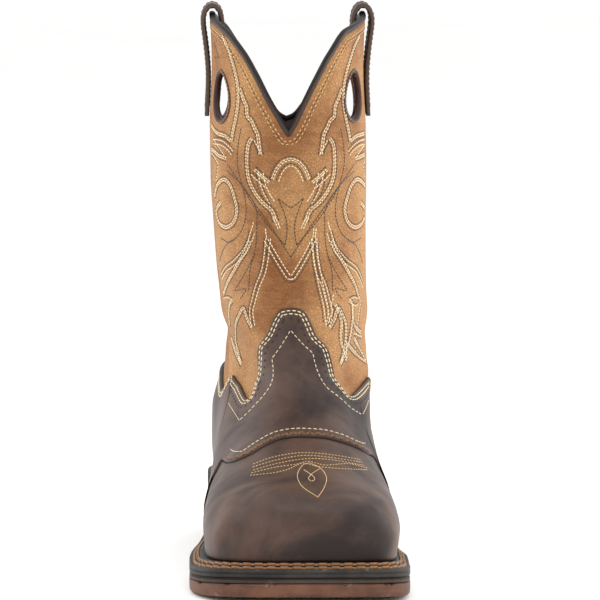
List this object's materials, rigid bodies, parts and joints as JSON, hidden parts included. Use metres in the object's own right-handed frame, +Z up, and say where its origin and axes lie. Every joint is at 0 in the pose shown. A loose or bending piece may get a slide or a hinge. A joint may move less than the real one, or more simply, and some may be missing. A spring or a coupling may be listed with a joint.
{
  "type": "western work boot",
  "caption": "Pull-on western work boot for the right foot, with scalloped collar, pull straps, pull holes, broad square toe, welted rubber sole and low heel.",
  "frame": {"origin": "on the floor under the middle of the heel, at the heel lift's ground face", "axes": "+Z up, -Y towards the toe, +X towards the inner (big toe) side"},
  "size_m": [0.1208, 0.3114, 0.3137],
  "materials": {
    "gum_rubber": "satin",
    "grey_rubber": "satin",
    "midsole_rubber": "matt",
    "insole_leather": "matt",
    "tan_leather": "satin",
    "brown_leather": "satin",
    "dark_leather": "satin"
  },
  "bodies": {
    "root": {"outsole": "gum_rubber", "heel_lift": "gum_rubber", "heel_block": "grey_rubber", "welt": "grey_rubber", "midsole": "midsole_rubber", "insole": "insole_leather", "upper": "tan_leather", "toe_vamp": "brown_leather", "saddle_overlay": "brown_leather", "counter": "brown_leather", "collar_piping": "dark_leather", "pull_strap_in": "dark_leather", "pull_strap_out": "dark_leather", "hole_binding_front_out": "dark_leather", "hole_binding_front_in": "dark_leather", "hole_binding_back_out": "dark_leather", "hole_binding_back_in": "dark_leather"}
  },
  "joints": []
}
